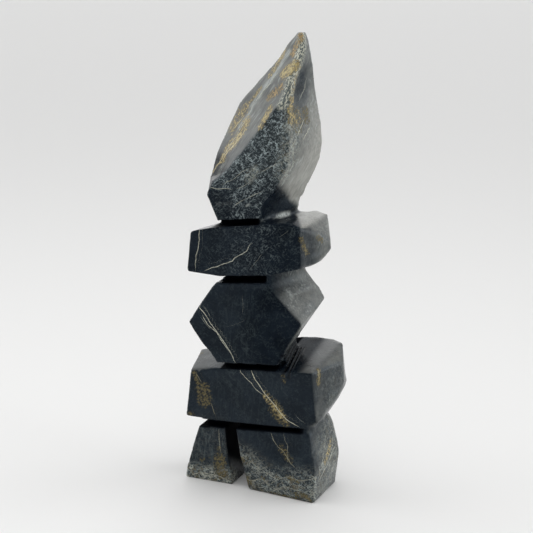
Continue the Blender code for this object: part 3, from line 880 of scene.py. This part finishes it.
DEEP = (0.0040, 0.0065, 0.0110)
SLATE = (0.0088, 0.0138, 0.0210)
HONED_LIT_GREY = (0.130, 0.136, 0.127)
PAINTED_SHEEN_TONE = (0.330, 0.330, 0.305)
HAIRLINE = (0.075, 0.095, 0.095)
CREAM_TONE = (0.66, 0.66, 0.55)
HALO_TONE = (0.046, 0.060, 0.064)
HAZE_TONE = (0.095, 0.112, 0.112)
CLOUD_TONE = (0.340, 0.380, 0.360)
STUN_TONE = (0.340, 0.400, 0.410)
PALE_TONE = (0.420, 0.450, 0.430)
CRYSTAL_TONE = (0.560, 0.560, 0.460)
DARK_RUST = (0.030, 0.024, 0.014)
BRIGHT_RUST = (0.500, 0.350, 0.170)
UMBER = (0.075, 0.062, 0.028)
TAN = (0.230, 0.175, 0.085)
OCHRE = (0.200, 0.160, 0.075)
BRIGHT_GOLD = (0.570, 0.475, 0.225)
KERF_SHADOW_TONE = (0.0015, 0.0020, 0.0035)
POLISH_TINT = (0.50, 0.61, 0.70, 1.0)      # of the reflection where it is seen straight on
POLISH_IOR = 1.34

# Patches of mineral: field, the stain under it, then its dim and its bright grains.
PATCHES = (("olive", DARK_RUST, UMBER, OCHRE),
           ("gold", UMBER, TAN, BRIGHT_GOLD),
           ("rust", UMBER, TAN, BRIGHT_RUST))
# How much roughness each field adds to the polished stone.
DULLED = (("honed_and_lit", 0.08), ("painted_sheen", 0.15), ("rough_face", 0.28), ("kerf_shadow", 0.5))
BUMP_STRENGTH = 0.3
BUMP_DEPTH = 0.05           # mm
MARK_BUMP = 1.5             # height of the stun marks against the fine grain's


class Shader:
    """Short names for the few nodes that the finish is built from."""

    def __init__(self, tree):
        self.tree = tree
        self.object_space = tree.nodes.new("ShaderNodeTexCoord").outputs["Object"]
        self.flakes = self.strokes(FLAKES, **FLAKE_SHAPE)
        self.patchy = self.ramp(self.noise(4.6, 3.0), 0.36, 0.62)
        self.brushed = self.grain(1.3, 32, 6.0)

    def put(self, socket, value):
        if isinstance(value, bpy.types.NodeSocket):
            self.tree.links.new(value, socket)
        else:
            socket.default_value = value

    def math(self, operation, a, b=0.0, clamp=False):
        node = self.tree.nodes.new("ShaderNodeMath")
        node.operation = operation
        node.use_clamp = clamp
        self.put(node.inputs[0], a)
        self.put(node.inputs[1], b)
        return node.outputs[0]

    def times(self, first, *others):
        for other in others:
            first = self.math("MULTIPLY", first, other)
        return first

    def ramp(self, value, low, high, to_low=0.0, to_high=1.0):
        node = self.tree.nodes.new("ShaderNodeMapRange")
        node.interpolation_type = "SMOOTHSTEP"
        for name, setting in (("Value", value), ("From Min", low), ("From Max", high),
                              ("To Min", to_low), ("To Max", to_high)):
            self.put(node.inputs[name], setting)
        return node.outputs["Result"]

    def mix(self, factor, a, b):
        node = self.tree.nodes.new("ShaderNodeMix")
        node.data_type = "RGBA"
        self.put(node.inputs[0], factor)
        for socket, value in ((node.inputs[6], a), (node.inputs[7], b)):
            self.put(socket, (*value, 1.0) if isinstance(value, tuple) else value)
        return node.outputs[2]

    def attribute(self, name):
        node = self.tree.nodes.new("ShaderNodeAttribute")
        node.attribute_name = name
        return node.outputs["Fac"]

    def attribute_parts(self, name):
        node = self.tree.nodes.new("ShaderNodeAttribute")
        node.attribute_name = name
        split = self.tree.nodes.new("ShaderNodeSeparateXYZ")
        self.tree.links.new(node.outputs["Vector"], split.inputs[0])
        return split.outputs

    def stretched(self, turn=(0.0, 0.0, 0.0), stretch=(1.0, 1.0, 1.0), shift=(0.0, 0.0, 0.0)):
        """Object space in which noise comes out drawn out along the turned axes."""
        node = self.tree.nodes.new("ShaderNodeMapping")
        node.vector_type = "TEXTURE"
        self.tree.links.new(self.object_space, node.inputs["Vector"])
        node.inputs["Rotation"].default_value = [math.radians(t) for t in turn]
        node.inputs["Scale"].default_value = stretch
        node.inputs["Location"].default_value = shift
        return node.outputs[0]

    def noise(self, lump_mm, detail=2.0, vector=None, roughness=0.5):
        node = self.tree.nodes.new("ShaderNodeTexNoise")
        self.tree.links.new(vector or self.object_space, node.inputs["Vector"])
        node.inputs["Scale"].default_value = 1.0 / (lump_mm * MM)
        node.inputs["Detail"].default_value = detail
        node.inputs["Roughness"].default_value = roughness
        return node.outputs[0]

    def grain(self, lump_mm, turn, stretch, tilt=0.0, detail=3.0, roughness=0.6):
        """Noise drawn out along an upright axis turned in the plane of the front, in degrees."""
        space = self.stretched((0.0, turn, tilt), (1.0, 1.0, stretch))
        return self.noise(lump_mm, detail, space, roughness)

    def largest(self, values):
        result = values[0]
        for value in values[1:]:
            result = self.math("MAXIMUM", result, value)
        return result

    def strokes(self, grains, tilt, stretch, soft):
        return self.largest([self.ramp(self.grain(lump, turn, stretch, tilt), low, low + soft)
                             for lump, turn, low in grains])

    def lines(self, grains):
        """1 where a noise crosses its middle: thin wandering lines."""
        found = []
        for lump, turn, stretch, tilt, half in grains:
            off = self.math("SUBTRACT", self.grain(lump, turn, stretch, tilt), 0.5)
            found.append(self.ramp(self.math("ABSOLUTE", off), half, half * 0.3))
        return self.largest(found)


def slate(s):
    """The dark stone, with a fine speckle and the upright strokes of the grinding."""
    colour = s.mix(s.ramp(s.noise(22.0, 4.0), 0.38, 0.66), DEEP, SLATE)
    speckle = s.times(s.flakes, s.ramp(s.patchy, 0.0, 1.0, 0.05, 0.38))
    colour = s.mix(speckle, colour, HALO_TONE)
    grinding = s.ramp(s.grain(1.1, 4, 7.0), 0.47, 0.66)
    return s.mix(s.times(grinding, s.attribute("dusty")), colour, HALO_TONE)


def with_honed_and_lit_faces(s, colour):
    """Grey ground faces painted lighter where the light falls, streaked along the grinding, with a
    painted sheen in places and paler wisps.
    """
    honed_and_lit = s.attribute("honed_and_lit")
    streak = s.grain(7.0, 30, 3.3, detail=4.0, roughness=0.5)
    flow = s.noise(3.2, 4.0, s.stretched((0.0, 34.0, 0.0), (1.0, 1.6, 5.0)), 0.6)
    grey = s.times(s.ramp(streak, 0.28, 0.72, 0.42, 1.0), s.ramp(flow, 0.3, 0.7, 0.72, 1.25),
                   s.ramp(s.brushed, 0.35, 0.65, 0.80, 1.15))
    colour = s.mix(s.math("MULTIPLY", honed_and_lit, grey, clamp=True), colour, HONED_LIT_GREY)
    # painted highlight and reflection, paler in streaks
    sheen = s.times(s.attribute("painted_sheen"), s.ramp(s.brushed, 0.35, 0.65, 0.72, 1.0))
    colour = s.mix(sheen, colour, PAINTED_SHEEN_TONE)
    wisps = s.ramp(s.grain(1.5, 33, 8.0), 0.50, 0.68)
    wisps = s.times(wisps, s.ramp(s.noise(9.0, 2.0), 0.38, 0.62))
    return s.mix(s.times(wisps, honed_and_lit, 0.42), colour, PALE_TONE)


def with_hairlines(s, colour):
    where = s.ramp(s.noise(19.0, 2.0, s.stretched(shift=(0.3, 0.1, 0.2))), 0.42, 0.66)
    return s.mix(s.times(s.lines(HAIRS), where, 0.22), colour, HAIRLINE)


def with_stun_marks(s, colour, marks):
    """The bruised grey of the rough face, the crystals of its ridge, and paler streaks, some of
    them painted highlights.
    """
    haze = s.times(s.math("POWER", s.attribute("stun"), 3.0), 0.25)
    colour = s.mix(haze, colour, HAZE_TONE)
    colour = s.mix(s.times(marks, 0.95), colour, STUN_TONE)
    crystals = s.mix(s.ramp(s.grain(0.95, 20, 1.8), 0.44, 0.56), HAZE_TONE, CRYSTAL_TONE)
    colour = s.mix(s.times(s.attribute("crystals"), 0.9), colour, crystals)
    streaks = s.times(s.attribute("pale_and_highlight"), s.ramp(s.brushed, 0.36, 0.60, 0.35, 1.0))
    return s.mix(streaks, colour, PALE_TONE)


def with_clouds(s, colour):
    """Grey fibrous speckle, with cream and tan threads through it."""
    cloud = s.attribute("cloud")
    colour = s.mix(s.times(cloud, 0.25), colour, HAZE_TONE)
    fibres = s.times(s.strokes(FIBRES, **FIBRE_SHAPE), cloud,
                     s.ramp(s.patchy, 0.0, 1.0, 0.40, 0.85))
    colour = s.mix(fibres, colour, CLOUD_TONE)
    tone = s.mix(s.ramp(s.noise(6.0, 2.0), 0.46, 0.56), CREAM_TONE, TAN)
    return s.mix(s.times(s.lines(THREADS), cloud, 0.42), colour, tone)


def with_patches(s, colour):
    """Gold, olive and rust: a faint stain under grains that are brightest in their middle."""
    fleck = s.grain(1.2, 34, 1.5, detail=4.0, roughness=0.66)
    grains = s.ramp(s.grain(0.9, 30, 1.8), 0.42, 0.56, 0.3, 1.0)
    for name, stain, dim, bright in PATCHES:
        amount = s.attribute(name)
        colour = s.mix(s.times(s.ramp(amount, 0.15, 0.9), 0.30), colour, stain)
        level = s.math("ADD", fleck, s.times(amount, 0.14))
        core = s.times(s.ramp(level, 0.57, 0.72), grains)
        flecks = s.times(s.ramp(level, 0.53, 0.64), s.ramp(amount, 0.02, 0.40), 0.92)
        colour = s.mix(flecks, colour, s.mix(core, dim, bright))
    return colour


def with_veins(s, colour):
    """Veins with ragged edges: a thin halo, then the core, which is broken here and there."""
    ragged = s.math("SUBTRACT", s.noise(0.9, 3.0, roughness=0.6), 0.5)
    broken = s.ramp(s.noise(1.6, 3.0), 0.30, 0.48, 0.45, 1.0)
    for group in range(VEIN_GROUPS):
        distance, half, tone = s.attribute_parts("vein_%d" % group)
        power = s.attribute("vein_power_%d" % group)
        off = s.math("ABSOLUTE", s.math("ADD", distance, s.times(ragged, 0.7)))
        halo = s.ramp(off, s.math("ADD", s.times(half, 2.6), 0.02), half)
        core = s.ramp(off, s.math("ADD", half, 0.01), s.times(half, 0.5))
        colour = s.mix(s.times(halo, power, 0.45), colour, s.mix(tone, HALO_TONE, OCHRE))
        colour = s.mix(s.times(core, power, broken), colour,
                       s.mix(tone, CREAM_TONE, BRIGHT_GOLD))
    return colour


def with_cuts(s, colour):
    """Painted shade: the dark over the fluted crease, the black in its grooves and the black of
    the kerfs.
    """
    # painted shade over the fluted crease
    colour = s.mix(s.times(s.attribute("worked"), 0.62), colour, DEEP)
    black = s.math("MAXIMUM", s.attribute("kerf_shadow"), s.attribute("groove_shadow"))
    return s.mix(black, colour, KERF_SHADOW_TONE)


def set_polish(s, principled):
    """A satin polish, duller where the stone is ground or rough; the shine is taken away in the
    kerfs and where shade is painted.
    """
    roughness = s.ramp(s.noise(7.0, 4.0), 0.3, 0.7, 0.20, 0.32)
    for name, share in DULLED:
        dulled = s.times(s.attribute(name), share)
        roughness = s.math("ADD", roughness, dulled, clamp=True)
    s.put(principled.inputs["Roughness"], roughness)
    shine = s.times(s.ramp(s.attribute("kerf_shadow"), 0.0, 1.0, 0.5, 0.03),
                    s.ramp(s.attribute("shaded"), 0.0, 1.0, 1.0, 0.15))
    s.put(principled.inputs["Specular IOR Level"], shine)
    principled.inputs["Specular Tint"].default_value = POLISH_TINT
    principled.inputs["IOR"].default_value = POLISH_IOR


def set_bump(s, principled, marks):
    bump = s.tree.nodes.new("ShaderNodeBump")
    bump.inputs["Strength"].default_value = BUMP_STRENGTH
    bump.inputs["Distance"].default_value = BUMP_DEPTH * MM
    height = s.math("ADD", s.noise(0.5, 3.0), s.times(marks, MARK_BUMP))
    s.put(bump.inputs["Height"], height)
    s.put(principled.inputs["Normal"], bump.outputs[0])


def dress(skin):
    """Build the finish, each layer over the one before."""
    material = bpy.data.materials.new("dark_stone_finish")
    material.use_nodes = True
    principled = material.node_tree.nodes["Principled BSDF"]
    s = Shader(material.node_tree)
    marks = s.times(s.flakes, s.ramp(s.patchy, 0.0, 1.0, 0.40, 1.0), s.attribute("stun"))
    colour = with_hairlines(s, with_honed_and_lit_faces(s, slate(s)))
    colour = with_clouds(s, with_stun_marks(s, colour, marks))
    colour = with_cuts(s, with_veins(s, with_patches(s, colour)))
    s.put(principled.inputs["Base Color"], colour)
    set_polish(s, principled)
    set_bump(s, principled, marks)
    skin.data.materials.clear()
    skin.data.materials.append(material)


# ------------------------------------------------------------------------------- the studio
CAMERA_PLACE = (268.9, -650.0, 325.1)      # mm, drawing axes
CAMERA_YAW = 22.0                          # degrees, towards the figure's right
CAMERA_PITCH = 14.0                        # degrees, looking down
CAMERA_LENS = 75.0                         # mm on a 36 mm frame
FLOOR_TONE = (0.80, 0.80, 0.795)

AMBIENT = 0.20                             # radiance of the room where no softbox is
# Softboxes above, behind, right and left: azimuth (0 is behind the figure, 90 to its right) and
# elevation, half angles of the bright disc and of its rim, all in degrees, and radiance.
SOFTBOXES = (
    (0.0, 75.0, 20.0, 60.0, 0.50),
    (-18.0, 16.0, 12.0, 50.0, 1.45),
    (72.0, 12.0, 14.0, 42.0, 3.0),
    (-95.0, 14.0, 14.0, 42.0, 2.1),
)
OVERHEAD_PLACE = (0.0, -0.35, 1.2)         # m
OVERHEAD_SIZE = (1.5, 1.2)                 # m
OVERHEAD_WATTS = 6.2


def camera():
    data = bpy.data.cameras.new("camera")
    data.lens = CAMERA_LENS
    data.sensor_width = 36.0
    data.clip_start = 0.01
    data.clip_end = 100.0
    view = bpy.data.objects.new("camera", data)
    bpy.context.scene.collection.objects.link(view)
    view.location = placed(CAMERA_PLACE)
    view.rotation_euler = (math.radians(90.0 - CAMERA_PITCH), 0.0, math.radians(CAMERA_YAW))
    bpy.context.scene.camera = view


def floor():
    mesh = bpy.data.meshes.new("floor")
    bm = bmesh.new()
    bmesh.ops.create_grid(bm, x_segments=1, y_segments=1, size=60.0)
    bm.to_mesh(mesh)
    bm.free()
    sheet = bpy.data.objects.new("floor", mesh)
    bpy.context.scene.collection.objects.link(sheet)
    paper = bpy.data.materials.new("floor_paper")
    paper.use_nodes = True
    shader = paper.node_tree.nodes["Principled BSDF"]
    shader.inputs["Base Color"].default_value = (*FLOOR_TONE, 1.0)
    shader.inputs["Roughness"].default_value = 0.8
    shader.inputs["Specular IOR Level"].default_value = 0.2
    mesh.materials.append(paper)


def sky_direction(azimuth, elevation):
    a, e = math.radians(azimuth), math.radians(elevation)
    return (math.sin(a) * math.cos(e), math.cos(a) * math.cos(e), math.sin(e))


def softbox_sky():
    """Soft lights all round, far away: each is a bright disc in the sky with a wide soft rim."""
    world = bpy.data.worlds.new("studio")
    bpy.context.scene.world = world
    world.use_nodes = True
    tree = world.node_tree
    direction = tree.nodes.new("ShaderNodeTexCoord").outputs["Generated"]
    total = None
    for azimuth, elevation, inner, outer, radiance in SOFTBOXES:
        towards = tree.nodes.new("ShaderNodeVectorMath")
        towards.operation = "DOT_PRODUCT"
        tree.links.new(direction, towards.inputs[0])
        towards.inputs[1].default_value = sky_direction(azimuth, elevation)
        disc = tree.nodes.new("ShaderNodeMapRange")
        disc.interpolation_type = "SMOOTHSTEP"
        tree.links.new(towards.outputs["Value"], disc.inputs["Value"])
        disc.inputs["From Min"].default_value = math.cos(math.radians(outer))
        disc.inputs["From Max"].default_value = math.cos(math.radians(inner))
        disc.inputs["To Min"].default_value = AMBIENT if total is None else 0.0
        disc.inputs["To Max"].default_value = radiance
        if total is None:
            total = disc.outputs["Result"]
        else:
            add = tree.nodes.new("ShaderNodeMath")
            tree.links.new(total, add.inputs[0])
            tree.links.new(disc.outputs["Result"], add.inputs[1])
            total = add.outputs[0]
    tree.links.new(total, tree.nodes["Background"].inputs["Strength"])
    tree.nodes["Background"].inputs["Color"].default_value = (1.0, 1.0, 1.0, 1.0)


def overhead():
    """A softbox above the figure."""
    data = bpy.data.lights.new("overhead", "AREA")
    data.shape = "RECTANGLE"
    data.size, data.size_y = OVERHEAD_SIZE
    data.energy = OVERHEAD_WATTS
    light = bpy.data.objects.new("overhead", data)
    bpy.context.scene.collection.objects.link(light)
    light.location = OVERHEAD_PLACE


def main():
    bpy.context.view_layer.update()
    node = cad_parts[NODE]
    skin, edges = remeshed_skin(node, "carved_stone_skin")
    finish_skin(skin, edges)
    mark(skin)
    dress(skin)
    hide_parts(NODE)
    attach(skin, "root")
    floor()
    softbox_sky()
    overhead()
    bpy.context.scene.view_settings.view_transform = "Standard"
    camera()


main()
